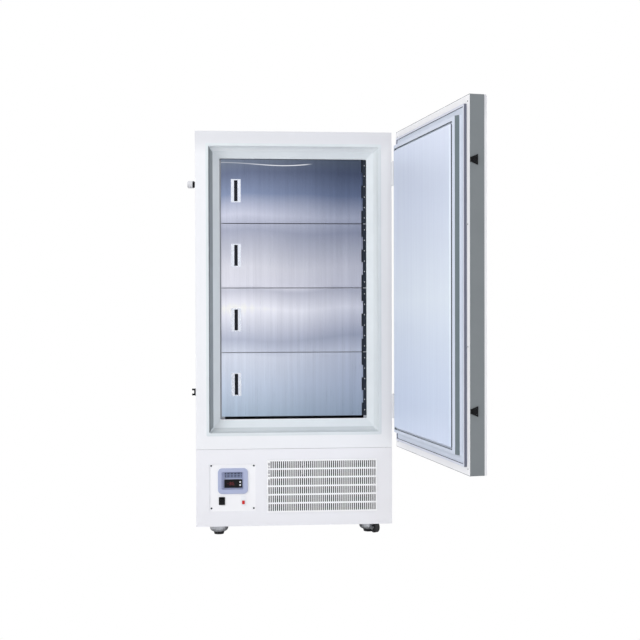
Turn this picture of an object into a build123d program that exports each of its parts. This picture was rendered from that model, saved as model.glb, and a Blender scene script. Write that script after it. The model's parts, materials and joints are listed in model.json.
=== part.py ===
from build123d import *
import os

# Laboratory freezer, an upright cabinet on a machine base with levelling casters.
# Millimetres. X to the right, Y to the rear, Z up from the floor. It is drawn round the cabinet's centre line
# and handed out with its origin under the front right levelling foot.

# Overall size
cabinet_width = 900.0
cabinet_depth = 780.0
floor_clearance = 47.0
base_height = 353.0
upper_height = 1450.0
sheet = 1.5
seam_gap = 1.2

# Breaker frame round the opening
frame_side_border = 48.5
frame_top_border = 55.0
frame_bottom_border = 60.0
frame_lip = 12.0
frame_proud = 1.5
frame_wall = 2.5
throat_inset = 18.0
throat_depth = 26.0
cove_inset = 30.0
cove_depth = 44.0
frame_inset = 61.0
ledge_depth = 62.0
frame_depth = 70.0
frame_bottom_extra = 7.0
frame_corner = 6.0

# Liner and shelves
liner_sheet = 1.2
rear_insulation = 88.0
shelf_sheet = 1.5
shelf_fold = 16.0
shelf_ledge = 10.0
jamb_width = 14.5

# Inner doors
inner_doors = 4
inner_doors_floor_gap = 12.0
inner_door_gap = 4.0
inner_axis_from_jamb = 18.5
inner_door_depth = 21.0
inner_door_side_gap = 7.0
inner_door_sheet = 1.2
inner_stop = 22.0
running_fit = 0.05
inner_knuckle_radius = 3.0
inner_pin_radius = 1.4
inner_axis_gap = 4.5
inner_knuckles = 5
knuckle_gap = 0.5
pull_width = 45.0
pull_height = 107.0
pull_slot_width = 16.0
pull_slot_height = 97.0
pull_depth = 18.0
pull_lap = 2.5
pull_drop = 94.0
pull_from_edge = 68.0

# Outer door
door_open_angle = 99.6
door_side_gap = 3.0
door_bottom_gap = 6.0
door_top_gap = 2.0
door_rim_gap = 12.0
door_band_depth = 58.0
door_skin_depth = 14.6
door_edge_radius = 10.0
door_sheet = 2.0
door_flange_width = 46.0
gasket_inset = 32.0
gasket_width = 9.0
gasket_gap = 0.3
plug_inset = 42.0
plug_lift = 8.0
plug_lip_inset = 60.0
plug_lip = 9.5
plug_shoulder_inset = 68.0
plug_shoulder = 15.5
plug_step_inset = 69.0
plug_step = 34.0
plug_top_inset = 89.0
plug_top = 37.8
plug_wall = 3.0
plug_clearance = 2.0
plate_inset = 98.0
plate_seat_lift = 29.0
plate_top = 43.8
plate_radius = 8.0
plate_sheet = 1.5

# Outer door hinges
hinge_axis_out = 8.0
hinge_axis_front = 2.0
hinge_knuckle_radius = 7.0
hinge_pin_radius = 4.0
hinge_length = 110.0
hinge_leaf = 3.0
hinge_leaf_width = 46.0
hinge_from_end = 190.0
hinge_corner_clearance = 0.5

# Side latches and door strikers
latch_heights = (1610.0, 660.0)
latch_from_front = 40.0
collar_radius = 17.0
collar_neck = 12.0
collar_length = 10.0
knob_radius = 17.0
knob_length = 26.0
latch_shaft_radius = 6.0
keeper_reach = 14.5
keeper_height = 30.0
keeper_depth = 24.0
striker_height = 39.0
striker_drop = 9.0
striker_width = 23.0
striker_from_rim = 8.0
striker_lift = 4.0
striker_bar = 4.0

# Machine base
grille_from_right = 70.5
grille_height = 241.5
grille_from_left = 322.5
grille_from_bottom = 60.5
grille_border = 7.0
grille_rows = 6
grille_columns = 52
grille_bar = 7.5
grille_slit = 5.0
grille_thickness = 4.0
grille_flange = 6.0
base_return = 25.0
pan_height = 29.0
pan_sheet = 2.0
post_width = 30.0
rail_height = 25.0
rear_slots = 9
rear_slot_length = 260.0
rear_slot_width = 8.0
rear_slot_pitch = 22.0
gland_radius = 11.0
gland_hole = 5.0
gland_length = 14.0

# Control plate
plate_from_left = 60.0
plate_from_bottom = 68.5
plate_width = 210.0
plate_height = 215.0
plate_lap = 8.0
plate_recess = 4.0
bezel_width = 136.0
bezel_height = 117.0
bezel_corner = 19.0
bezel_proud = 6.0
bezel_center = (167.2, 207.0)
recess_width = 99.0
recess_offset = -2.3
recess_rise = 1.7
recess_right_draft = 1.4
recess_height = 80.0
recess_floor_width = 86.0
recess_floor_height = 77.0
recess_depth = 16.0
bezel_wall = 2.5
controller_width = 81.0
controller_height = 38.0
controller_offset = 1.7
controller_proud = 4.0
controller_body = (71.0, 29.0, 55.0)
controller_drop = 13.0
indicator_width = 78.0
indicator_height = 25.0
indicator_rise = 25.3
key_size = 7.0
key_travel = 1.0
key_gap = 0.4
key_from_edge = 9.0
key_spacing = 14.0
rocker_width = 28.0
rocker_height = 36.0
rocker_center = (116.9, 116.0)
rocker_rim = 4.0
rocker_tilt = 8.0
alarm_center = (214.8, 114.8)
alarm_width = 20.0
alarm_height = 46.0
alarm_button_width = 12.0
alarm_button_height = 16.0
alarm_button_drop = 6.0
switch_proud = 3.0
switch_body_depth = 22.0
switch_gap = 0.4
alarm_travel = 2.0

# Refrigeration plant
compressor_radius = 80.0
compressor_height = 190.0
compressor_foot = 12.0
boss_radius = 9.0
compressor_places = ((240.0, 530.0), (600.0, 530.0))
condenser_margin = 18.5
condenser_height = 250.0
condenser_depth = 44.0
condenser_from_front = 62.0
condenser_tube = 5.0
condenser_rows = 6
tube_margin = 20.0
tube_reach = 12.0
fan_radius = 100.0
fan_hub_radius = 22.0
fan_blades = 5
fan_gap = 6.0
fan_depth = 28.0
shroud_sheet = 2.0
motor_radius = 40.0
motor_length = 55.0
drier_radius = 14.0
drier_length = 62.0
drier_from_left = 150.0
drier_rise = 226.0
drier_stand = 46.0
pipe_radius = 4.0
pipe_bend = 20.0
boss_offset = 40.0
boss_rise = 6.0
discharge_rise = 50.0
liquid_reach = 40.0
drier_loop = 26.0
suction_rise = 40.0
suction_run = 120.0

# Levelling casters
caster_from_side = 102.0
caster_from_end = 75.0
caster_radius = 42.0
caster_bottom = 13.0
caster_trail = 55.0
caster_angles = (27.0, 180.0, 150.0, 205.0)
wheel_radius = 25.0
wheel_width = 24.0
wheel_lift = 2.0
wheel_gap = 1.3
axle_radius = 4.0
fork_wall = 6.0
kingpin_radius = 9.0
mount_plate = 4.0
foot_pad_radius = 22.0
foot_ring_radius = 24.0
foot_stem_radius = 5.0
foot_travel = 10.0
stem_clearance = 1.0
swivel_gap = 0.5

# Places that follow from the sizes
half_width = cabinet_width / 2
front = -cabinet_depth / 2
rear = cabinet_depth / 2
seam = floor_clearance + base_height
top = seam + upper_height
panel_top = seam - seam_gap
opening_half = half_width - frame_side_border - frame_inset
opening_low = seam + frame_bottom_border + frame_inset + frame_bottom_extra
opening_high = top - frame_top_border - frame_inset
liner_front = front + frame_depth
liner_back = rear - rear_insulation
inner_door_pitch = (opening_high - opening_low - inner_doors_floor_gap) / inner_doors
inner_axis_x = opening_half - inner_axis_from_jamb
inner_door_right = inner_axis_x - inner_axis_gap
door_half = half_width - door_side_gap
door_low = seam + door_bottom_gap
door_high = top - door_top_gap
door_rim = front - door_rim_gap
door_band_front = door_rim - door_band_depth
door_face = door_band_front - door_skin_depth
hinge_x = half_width + hinge_axis_out
hinge_y = front - hinge_axis_front
plate_front = front + plate_recess
pan_low = floor_clearance + pan_height
pan_high = pan_low + pan_sheet


def block(x0, x1, y0, y1, z0, z1):
    """Box between two corners."""
    return Pos((x0 + x1) / 2, (y0 + y1) / 2, (z0 + z1) / 2) * Box(x1 - x0, y1 - y0, z1 - z0)


def rod_x(x0, x1, y, z, radius):
    """Round bar along X."""
    return Pos((x0 + x1) / 2, y, z) * Rot(0, 90, 0) * Cylinder(radius, x1 - x0)


def rod_y(x, y0, y1, z, radius):
    """Round bar along Y."""
    return Pos(x, (y0 + y1) / 2, z) * Rot(90, 0, 0) * Cylinder(radius, y1 - y0)


def rod_z(x, y, z0, z1, radius):
    """Round bar along Z."""
    return Pos(x, y, (z0 + z1) / 2) * Cylinder(radius, z1 - z0)


def upright(y, x0, x1, z0, z1, radius):
    """Rounded rectangle that stands in a plane of constant Y."""
    plane = Plane(origin=((x0 + x1) / 2, y, (z0 + z1) / 2), x_dir=(1, 0, 0), z_dir=(0, -1, 0))
    return plane * RectangleRounded(x1 - x0, z1 - z0, radius)


def slab(y0, y1, x0, x1, z0, z1, radius):
    """Rounded rectangular slab from y0 back to y1."""
    return extrude(upright(y0, x0, x1, z0, z1, radius), y1 - y0, dir=(0, 1, 0))


def funnel(sections):
    """Straight-sided solid through rounded rectangles in planes of constant Y."""
    return loft([section.face() for section in sections], ruled=True)


def group(pieces):
    """Separate solids kept together as one piece list."""
    return Compound([solid for piece in pieces for solid in piece.solids()])


def profile_z(points, z0, z1):
    """Prism of a plan outline from z0 to z1."""
    outline = make_face(Polyline([(x, y, z0) for x, y in points], close=True))
    return extrude(outline, z1 - z0, dir=(0, 0, 1))


def profile_x(points, x0, x1):
    """Prism of a side outline, given as (y, z), from x0 to x1."""
    outline = make_face(Polyline([(x0, y, z) for y, z in points], close=True))
    return extrude(outline, x1 - x0, dir=(1, 0, 0))


# Breaker frame

def frame_low(inset):
    """Lower edge of the frame's outline at one inset from its outer edge."""
    return seam + frame_bottom_border + inset * (1 + frame_bottom_extra / frame_inset)


def frame_high(inset):
    """Upper edge of the frame's outline at one inset from its outer edge."""
    return top - frame_top_border - inset


def frame_section(inset, depth):
    """Frame outline at one inset from its outer edge and one depth behind the front."""
    side = half_width - frame_side_border - inset
    return upright(front + depth, -side, side, frame_low(inset), frame_high(inset), frame_corner)


frame_steps = ((throat_inset, throat_depth), (cove_inset, cove_depth), (frame_inset, ledge_depth))


def frame_throat():
    """Open space that the frame's stepped face bounds."""
    sections = [frame_section(frame_lip, -frame_proud)]
    sections += [frame_section(inset, depth) for inset, depth in frame_steps]
    sections.append(frame_section(frame_inset, frame_depth))
    return funnel(sections)


def frame_envelope():
    """Space that the frame's moulding fills behind the cabinet's front."""
    sections = [frame_section(frame_lip - frame_wall, 0)]
    for inset, depth in frame_steps:
        sections.append(frame_section(inset - frame_wall, depth + frame_wall / 2))
    sections.append(frame_section(frame_inset - frame_wall, frame_depth))
    return funnel(sections)


def breaker_frame():
    """Stepped plastic frame whose lip laps on the cabinet's front flange."""
    lip = extrude(frame_section(0, -frame_proud), frame_proud, dir=(0, 1, 0))
    return lip + frame_envelope() - frame_throat()


# Upper cabinet

def cabinet_shell():
    """Painted steel casing, folded in at the front to a flat flange."""
    outer = block(-half_width, half_width, front, rear, seam, top)
    inner = block(
        -half_width + sheet, half_width - sheet, front + sheet, rear - sheet, seam + sheet, top - sheet
    )
    window = extrude(frame_section(frame_lip - frame_wall - 0.5, 0), 2 * sheet, dir=(0, 1, 0), both=True)
    return outer - inner - window


def liner_box(grow):
    """Space of the stainless liner, grown by a wall."""
    return block(
        -opening_half - grow,
        opening_half + grow,
        liner_front,
        liner_back + grow,
        opening_low - grow,
        opening_high + grow,
    )


def cabinet_foam():
    """Foam between casing, breaker frame and liner."""
    body = block(
        -half_width + sheet, half_width - sheet, front + sheet, rear - sheet, seam + sheet, top - sheet
    )
    return body - frame_envelope() - liner_box(liner_sheet)


def shelf_z(number):
    """Height of the shelf under one compartment, counted from the top."""
    return opening_high - number * inner_door_pitch


def inner_door_left():
    """Left edge of the inner doors."""
    return -opening_half + inner_door_side_gap


inner_axis_y = liner_front
jamb_left = opening_half - jamb_width


def cabinet_liner():
    """Stainless liner with shelf ledges, door stop and hinge jamb."""
    liner = liner_box(liner_sheet) - liner_box(0)
    stop_y = liner_front + inner_door_depth + 2 * running_fit + 1.0
    liner += block(
        -opening_half, -opening_half + inner_stop, stop_y, stop_y + liner_sheet, opening_low, opening_high
    )
    leaf_back = inner_axis_y + liner_sheet
    liner += block(
        jamb_left, opening_half, leaf_back, leaf_back + liner_sheet, opening_low, opening_high
    )
    for number in range(1, inner_doors):
        ledge_top = shelf_z(number) - shelf_sheet / 2
        for side in (-1, 1):
            inner_x, wall_x = side * (opening_half - shelf_ledge), side * opening_half
            liner += block(
                min(inner_x, wall_x),
                max(inner_x, wall_x),
                liner_front + inner_door_depth + 20,
                liner_back,
                ledge_top - liner_sheet,
                ledge_top,
            )
    return liner


def inner_shelves():
    """Steel shelves with a folded front edge, resting on the liner's ledges."""
    shelves = []
    for number in range(1, inner_doors):
        low = shelf_z(number) - shelf_sheet / 2
        shelf_front = liner_front + inner_door_depth + 4
        half = opening_half - 0.5
        plate = block(-half, half, shelf_front, liner_back - 0.5, low, low + shelf_sheet)
        fold_half = opening_half - shelf_ledge - 14
        fold = block(
            -fold_half, fold_half, shelf_front, shelf_front + shelf_sheet, low - shelf_fold, low
        )
        shelves.append(plate + fold)
    return group(shelves)


# Inner doors

def knuckle_spans(low, high):
    """Heights of the knuckles of one inner door's hinge."""
    step = (high - low) / inner_knuckles
    return [
        (low + index * step + knuckle_gap / 2, low + (index + 1) * step - knuckle_gap / 2)
        for index in range(inner_knuckles)
    ]


def inner_door_span(number):
    """Lowest and highest edge of one inner door."""
    high = shelf_z(number - 1) - inner_door_gap / 2
    return high - inner_door_pitch + inner_door_gap, high


def pull_box(number, grow):
    """Left, right, low and high edges of one recessed pull, grown all round."""
    left = inner_door_left() + pull_from_edge - pull_width / 2
    high = shelf_z(number - 1) - pull_drop
    return left - grow, left + pull_width + grow, high - pull_height - grow, high + grow


def inner_door_panel(number):
    """Stainless tray with hinge knuckles welded to its right edge."""
    low, high = inner_door_span(number)
    left = inner_door_left()
    right = inner_door_right
    tray = block(left, right, liner_front, liner_front + inner_door_depth, low, high)
    tray -= block(
        left + inner_door_sheet,
        right - inner_door_sheet,
        liner_front + inner_door_sheet,
        liner_front + inner_door_depth,
        low + inner_door_sheet,
        high - inner_door_sheet,
    )
    x0, x1, z0, z1 = pull_box(number, -pull_lap)
    tray -= block(x0, x1, liner_front - 1, liner_front + 2 * inner_door_sheet, z0, z1)
    for z0, z1 in knuckle_spans(low, high)[1::2]:
        knuckle = rod_z(inner_axis_x, inner_axis_y, z0, z1, inner_knuckle_radius)
        knuckle += block(
            right - inner_door_sheet, inner_axis_x, inner_axis_y, inner_axis_y + inner_door_sheet, z0, z1
        )
        tray += knuckle - rod_z(inner_axis_x, inner_axis_y, z0, z1, inner_pin_radius + running_fit)
    return tray


def inner_door_pull(number):
    """Recessed pull, a flat plate with a tall slot and a cup behind it."""
    x0, x1, z0, z1 = pull_box(number, 0)
    plate = slab(liner_front - 1.0, liner_front, x0, x1, z0, z1, 1.5)
    gap = pull_lap + 0.3
    cup = block(x0 + gap, x1 - gap, liner_front, liner_front + pull_depth, z0 + gap, z1 - gap)
    wall = gap + 1.0
    cup -= block(
        x0 + wall, x1 - wall, liner_front, liner_front + pull_depth - 1.0, z0 + wall, z1 - wall
    )
    middle_x, middle_z = (x0 + x1) / 2, (z0 + z1) / 2
    slot = slab(
        liner_front - 2.0,
        liner_front + 1.0,
        middle_x - pull_slot_width / 2,
        middle_x + pull_slot_width / 2,
        middle_z - pull_slot_height / 2,
        middle_z + pull_slot_height / 2,
        1.5,
    )
    return plate + cup - slot


def inner_hinge_leaves():
    """Leaves of the riveted hinge on the right jamb, with their pins."""
    leaves = []
    for number in range(1, inner_doors + 1):
        low, high = inner_door_span(number)
        leaf = block(
            inner_axis_x + 4.0, opening_half - 0.5, inner_axis_y, inner_axis_y + liner_sheet, low, high
        )
        for z0, z1 in knuckle_spans(low, high)[0::2]:
            leaf += rod_z(inner_axis_x, inner_axis_y, z0, z1, inner_knuckle_radius)
            leaf += block(
                inner_axis_x, inner_axis_x + 5.0, inner_axis_y, inner_axis_y + liner_sheet, z0, z1
            )
        leaf += rod_z(inner_axis_x, inner_axis_y, low, high, inner_pin_radius)
        leaves.append(leaf)
    return group(leaves)


# Outer door, drawn shut and swung open about its hinge

def swung(piece):
    """Moves a piece of the shut outer door to the open position."""
    return Pos(hinge_x, hinge_y, 0) * Rot(0, 0, door_open_angle) * Pos(-hinge_x, -hinge_y, 0) * piece


def door_section(inset, lift, radius=4.0):
    """Door outline at one inset from its edge and one height over the inner rim."""
    return upright(
        door_rim + lift, -door_half + inset, door_half - inset, door_low + inset, door_high - inset, radius
    )


def door_prism(inset, lift0, lift1, radius=4.0):
    """Prism of the door outline between two heights over the inner rim."""
    return extrude(door_section(inset, lift0, radius), lift1 - lift0, dir=(0, 1, 0))


def rounded_pan(inset, thickness, radius):
    """Block behind the door's outer face with its outer edges rounded."""
    pan = door_prism(inset, door_face + thickness - door_rim, -door_band_depth)
    return fillet(pan.faces().sort_by(Axis.Y)[0].edges(), radius)


def door_skin():
    """Painted outer pan with rounded edges."""
    inner = rounded_pan(door_sheet, door_sheet, door_edge_radius - door_sheet)
    return rounded_pan(0, 0, door_edge_radius) - inner


def door_edge_band():
    """Grey band round the edge of the door."""
    return door_prism(0, -door_band_depth, 0) - door_prism(door_sheet, -door_band_depth, 0)


def door_flange():
    """White flange round the inner face."""
    ring = door_prism(door_sheet, -sheet, 0)
    return ring - door_prism(door_flange_width, -sheet, 0)


def plug_section(inset, lift, wall=0.0):
    """Plug outline that clears the frame's throat above and below."""
    depth = door_rim + lift - front
    throat = frame_lip + (throat_inset - frame_lip) * (depth + frame_proud) / (throat_depth + frame_proud)
    low = frame_low(throat) + plug_clearance + wall
    high = frame_high(throat) - plug_clearance - wall
    return upright(door_rim + lift, -door_half + inset + wall, door_half - inset - wall, low, high, 4.0)


def door_liner():
    """Stepped plastic liner of the door, with a pocket for the plate."""
    plug = funnel(
        [
            door_section(plug_inset, 0),
            door_section(plug_inset, plug_lift),
            plug_section(plug_lip_inset, plug_lip),
            plug_section(plug_shoulder_inset, plug_shoulder),
            plug_section(plug_step_inset, plug_step),
            door_section(plug_top_inset, plug_top),
        ]
    )
    return plug - door_prism(plug_top_inset, plate_seat_lift, plug_top) - door_cavity()


def door_cavity():
    """Foam-filled space inside the door's liner."""
    return funnel(
        [
            door_section(door_flange_width, -sheet),
            door_section(door_flange_width, plug_lift - plug_wall),
            plug_section(plug_lip_inset, plug_lip - plug_wall, plug_wall),
            plug_section(plug_shoulder_inset, plug_shoulder - plug_wall, plug_wall),
            plug_section(plug_step_inset, plate_seat_lift - plug_wall, plug_wall),
        ]
    )


def door_core():
    """Foam inside the door."""
    core = rounded_pan(door_sheet, door_sheet, door_edge_radius - door_sheet)
    core += door_prism(door_sheet, -door_band_depth, -sheet)
    return core + door_cavity()


def door_gasket():
    """Magnetic gasket that stops just short of the cabinet's flange when shut."""
    height = door_rim_gap - gasket_gap
    ring = door_prism(gasket_inset, 0, height, 3.0)
    return ring - door_prism(gasket_inset + gasket_width, 0, height, 3.0)


def door_plate():
    """Stainless plate with a rounded, folded rim, seated in the plug's pocket."""
    floor = plate_seat_lift
    outer = door_prism(plate_inset, floor, plate_top, 6.0)
    outer = fillet(outer.faces().sort_by(Axis.Y)[-1].edges(), plate_radius)
    inner = door_prism(plate_inset + plate_sheet, floor, plate_top - plate_sheet, 5.0)
    inner = fillet(inner.faces().sort_by(Axis.Y)[-1].edges(), plate_radius - plate_sheet)
    return outer - inner


def door_strikers():
    """Black strikers on the door's free edge, each a half-hexagon round a star-shaped boss."""
    near = door_rim - striker_from_rim
    far = near - striker_width
    half = striker_height / 2
    slant = striker_width - striker_bar
    strikers = []
    for height in (latch_height - striker_drop for latch_height in latch_heights):
        rim = profile_x(
            [
                (far, height - half),
                (far + striker_bar, height - half),
                (far + striker_bar, height + half),
                (far, height + half),
            ],
            -door_half - striker_lift,
            -door_half,
        )
        for side in (-1, 1):
            rim += profile_x(
                [
                    (far, height + side * half),
                    (far, height + side * (half - striker_bar * 1.5)),
                    (near, height + side * (half - slant * 0.55 - striker_bar)),
                    (near, height + side * (half - slant * 0.55 + striker_bar / 2)),
                ],
                -door_half - striker_lift,
                -door_half,
            )
        middle = (near + far) / 2
        for turn in range(4):
            bar = Box(striker_lift - 0.5, 17.0, 4.0)
            place = Pos(-door_half - (striker_lift - 0.5) / 2, middle, height) * Rot(45 * turn, 0, 0)
            rim += place * bar
        rim += block(
            -door_half - 1.0, -door_half, far + 2.0, door_rim, height - half / 2, height + half / 2
        )
        strikers.append(rim)
    return group(strikers)


hinge_heights = (top - hinge_from_end, seam + hinge_from_end)
hinge_span = hinge_length / 3


def hinge_thirds(height):
    """Lower, middle and upper knuckle spans of one hinge."""
    low = height - hinge_length / 2
    return [
        (low + index * hinge_span + knuckle_gap / 2, low + (index + 1) * hinge_span - knuckle_gap / 2)
        for index in range(3)
    ]


def door_hinge_leaves():
    """Hinge leaves on the door's end face, each with the middle knuckle."""
    leaves = []
    for height in hinge_heights:
        z0, z1 = hinge_thirds(height)[1]
        leaf = block(
            door_half,
            door_half + hinge_leaf,
            door_rim - hinge_leaf_width,
            door_rim - 4.0,
            height - hinge_length / 2,
            height + hinge_length / 2,
        )
        arm = profile_z(
            [
                (door_half, door_rim - 4.0),
                (door_half, door_rim - 18.0),
                (hinge_x, hinge_y - hinge_knuckle_radius),
                (hinge_x + hinge_knuckle_radius, hinge_y),
                (hinge_x - 2.0, hinge_y - 2.0),
            ],
            z0,
            z1,
        )
        leaf += arm + rod_z(hinge_x, hinge_y, z0, z1, hinge_knuckle_radius)
        leaves.append(leaf - rod_z(hinge_x, hinge_y, z0, z1, hinge_pin_radius + running_fit))
    return group(leaves)


def door_hinge_brackets():
    """Hinge leaves on the cabinet's side, each with the lower and upper knuckles."""
    brackets = []
    for height in hinge_heights:
        low, middle, high = hinge_thirds(height)
        plate = block(
            half_width,
            half_width + hinge_leaf,
            hinge_y + hinge_knuckle_radius + 1.0,
            hinge_y + hinge_leaf_width,
            low[0],
            high[1],
        )
        for z0, z1 in (low, high):
            plate += block(
                half_width + hinge_corner_clearance,
                half_width + hinge_leaf,
                hinge_y,
                hinge_y + hinge_knuckle_radius + 2.0,
                z0,
                z1,
            )
            plate += rod_z(hinge_x, hinge_y, z0, z1, hinge_knuckle_radius)
            plate += block(
                half_width + hinge_leaf - 1.0,
                hinge_x,
                hinge_y,
                hinge_y + hinge_knuckle_radius,
                z0,
                z1,
            )
        brackets.append(plate - rod_z(hinge_x, hinge_y, low[0], high[1], hinge_pin_radius))
    return group(brackets)


def door_hinge_pins():
    """Hinge pins with a round head on top."""
    pins = []
    for height in hinge_heights:
        low, middle, high = hinge_thirds(height)
        pin = rod_z(hinge_x, hinge_y, low[0], high[1], hinge_pin_radius)
        pins.append(pin + rod_z(hinge_x, hinge_y, high[1], high[1] + 3.0, hinge_pin_radius + 1.5))
    return group(pins)


# Side latches

latch_y = front + latch_from_front


def latch_mounts():
    """Black flared collar of the upper latch and base plate of the lower one."""
    upper, lower = latch_heights
    side = -half_width
    collar = Pos(side - collar_length / 2, latch_y, upper) * Rot(0, -90, 0)
    collar = collar * Cone(collar_neck, collar_radius, collar_length)
    collar -= rod_x(side - collar_length, side, latch_y, upper, latch_shaft_radius + running_fit)
    plate = slab(latch_y - 14, latch_y + 14, side - hinge_leaf, side, lower - 17, lower + 17, 1.0)
    plate -= rod_x(side - hinge_leaf, side, latch_y, lower, latch_shaft_radius + running_fit)
    return group([collar, plate])


def latch_upper_knob():
    """Rounded silver knob with its shaft."""
    side = -half_width
    start = side - collar_length - 0.4
    knob = rod_x(start - knob_length, start, latch_y, latch_heights[0], knob_radius)
    knob = fillet(knob.faces().sort_by(Axis.X)[0].edges(), 9.0)
    knob = chamfer(knob.faces().sort_by(Axis.X)[-1].edges(), 2.0)
    groove = block(start - knob_length - 1, start - knob_length + 3, latch_y - 2, latch_y + 2, 0, top)
    return knob - groove + rod_x(start, side, latch_y, latch_heights[0], latch_shaft_radius)


def latch_lower_keeper():
    """Black two-pronged turning latch."""
    lower = latch_heights[1]
    side = -half_width
    start = side - hinge_leaf - 0.4
    half = keeper_height / 2
    body = block(
        start - 5.0, start, latch_y - keeper_depth / 2, latch_y + keeper_depth / 2, lower - half, lower + half
    )
    for z0, z1 in ((lower - half, lower - half + 7), (lower + half - 7, lower + half)):
        body += block(
            start - keeper_reach, start, latch_y - keeper_depth / 2, latch_y + keeper_depth / 2, z0, z1
        )
    return body + rod_x(start, side, latch_y, lower, latch_shaft_radius)


# Machine base

def from_corner(place):
    """Place on the base's front, from distances to its left and bottom edges."""
    return place[0] - half_width, place[1] + floor_clearance


def grille_edges(grow):
    """Left, right, low and high edges of the grille's face."""
    left, low = from_corner((grille_from_left, grille_from_bottom))
    right = half_width - grille_from_right
    return left - grow, right + grow, low - grow, low + grille_height + grow


def plate_edges(grow):
    """Left, right, low and high edges of the control plate's visible part."""
    left, low = from_corner((plate_from_left, plate_from_bottom))
    return left - grow, left + plate_width + grow, low - grow, low + plate_height + grow


def base_front_panel():
    """Painted front panel with windows for the control plate and the grille."""
    panel = block(-half_width, half_width, front, front + sheet, floor_clearance, panel_top)
    fold_half = half_width - sheet - post_width - 2.0
    panel += block(-fold_half, fold_half, front, front + 18, panel_top - sheet, panel_top)
    x0, x1, z0, z1 = plate_edges(sheet)
    panel += block(x0, x1, front, plate_front, z0, z1)
    for x0, x1, z0, z1 in (grille_edges(-grille_flange), plate_edges(0)):
        panel -= block(x0, x1, front - 1, front + 2 * plate_recess, z0, z1)
    return panel


def base_side_panels():
    """Left and right side panels with a folded front and rear edge."""
    panels = []
    for side in (-1, 1):
        x_wall = sorted((side * half_width, side * (half_width - sheet)))
        x_fold = sorted((side * half_width, side * (half_width - base_return)))
        panel = block(*x_wall, front + sheet, rear - sheet, floor_clearance, panel_top)
        panel += block(*x_fold, front + sheet, front + 2 * sheet, floor_clearance, panel_top)
        panel += block(*x_fold, rear - 2 * sheet, rear - sheet, floor_clearance, panel_top)
        panels.append(panel)
    return group(panels)


def caster_places():
    """Swivel axes of the four casters, front right first."""
    x = half_width - caster_from_side
    y = rear - caster_from_end
    return ((x, -y), (-x, -y), (-x, y), (x, y))


def base_chassis():
    """Folded pan with corner posts, top rails and the casters' kingpins."""
    inner_x = half_width - sheet - 0.5
    inner_y = rear - 2 * sheet - 0.5
    chassis = block(-inner_x, inner_x, -inner_y, inner_y, pan_low, pan_high)
    for side in (-1, 1):
        x0, x1 = sorted((side * inner_x, side * (inner_x - post_width)))
        for end in (-1, 1):
            y0, y1 = sorted((end * inner_y, end * (inner_y - post_width)))
            post = block(x0, x1, y0, y1, pan_high, seam)
            core_x = sorted((side * (inner_x - pan_sheet), side * (inner_x - post_width)))
            core_y = sorted((end * (inner_y - pan_sheet), end * (inner_y - post_width)))
            chassis += post - block(*core_x, *core_y, pan_high, seam)
        rail = block(x0, x1, -inner_y + 1, inner_y - 1, seam - rail_height, seam)
        core_x = sorted((side * (inner_x - pan_sheet), side * (inner_x - post_width)))
        chassis += rail - block(*core_x, -inner_y, inner_y, seam - rail_height, seam - pan_sheet)
    for x, y in caster_places():
        chassis += block(x - 42, x + 42, y - 42, y + 42, pan_low - mount_plate, pan_low)
        chassis += rod_z(x, y, kingpin_low, pan_low, kingpin_radius)
        chassis -= rod_z(x, y, kingpin_low, pan_high, foot_stem_radius + 0.3)
    return chassis


def base_rear_cover():
    """Rear cover with air slots and a cord gland."""
    cover = block(-half_width, half_width, rear - sheet, rear, floor_clearance, panel_top)
    first = (floor_clearance + panel_top) / 2 - (rear_slots - 1) * rear_slot_pitch / 2
    for column in (-1, 1):
        for row in range(rear_slots):
            x = column * half_width / 2
            z = first + row * rear_slot_pitch
            cover -= slab(
                rear - 2 * sheet,
                rear + 1,
                x - rear_slot_length / 2,
                x + rear_slot_length / 2,
                z - rear_slot_width / 2,
                z + rear_slot_width / 2,
                rear_slot_width / 2 - 0.1,
            )
    gland_z = floor_clearance + 60
    cover += rod_y(0, rear, rear + gland_length, gland_z, gland_radius)
    return cover - rod_y(0, rear - 2 * sheet, rear + gland_length, gland_z, gland_hole)


def intake_grille():
    """Moulded grille: a lip on the panel and six rows of upright slits."""
    x0, x1, z0, z1 = grille_edges(0)
    plane = Plane(origin=((x0 + x1) / 2, front - 2.0, (z0 + z1) / 2), x_dir=(1, 0, 0), z_dir=(0, -1, 0))
    face = RectangleRounded(x1 - x0, grille_height, 3.0)
    inner_width = x1 - x0 - 2 * grille_border
    inner_height = grille_height - 2 * grille_border
    slit_height = (inner_height - (grille_rows - 1) * grille_bar) / grille_rows
    slits = GridLocations(
        (inner_width - grille_slit) / (grille_columns - 1),
        slit_height + grille_bar,
        grille_columns,
        grille_rows,
    )
    face -= slits * Rectangle(grille_slit, slit_height)
    grille = extrude(plane * face, grille_thickness, dir=(0, 1, 0))
    ring = block(
        x0 - 1, x1 + 1, front, front + grille_thickness, z0 - 1, z1 + 1
    )
    x0, x1, z0, z1 = grille_edges(-grille_flange - 0.3)
    return grille - (ring - block(x0, x1, front, front + grille_thickness, z0, z1))


# Control plate

recess_center = (bezel_center[0] + recess_offset, bezel_center[1] + recess_rise)


def control_plate():
    """Painted plate behind the front panel's window, with cut-outs for the instruments."""
    x0, x1, z0, z1 = plate_edges(plate_lap)
    plate = block(x0, x1, plate_front, plate_front + sheet, z0, z1)
    back = plate_front + 2 * sheet
    for place, width, height in (
        (recess_center, recess_width + 2 * bezel_wall + 1, recess_height + 2 * bezel_wall + 1),
        (rocker_center, rocker_width - 2 * rocker_rim + 1, rocker_height - 2 * rocker_rim + 1),
        (alarm_center, alarm_width - 3, alarm_height - 3),
    ):
        x, z = from_corner(place)
        plate -= block(
            x - width / 2, x + width / 2, plate_front - 1, back, z - height / 2, z + height / 2
        )
    return plate


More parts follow.
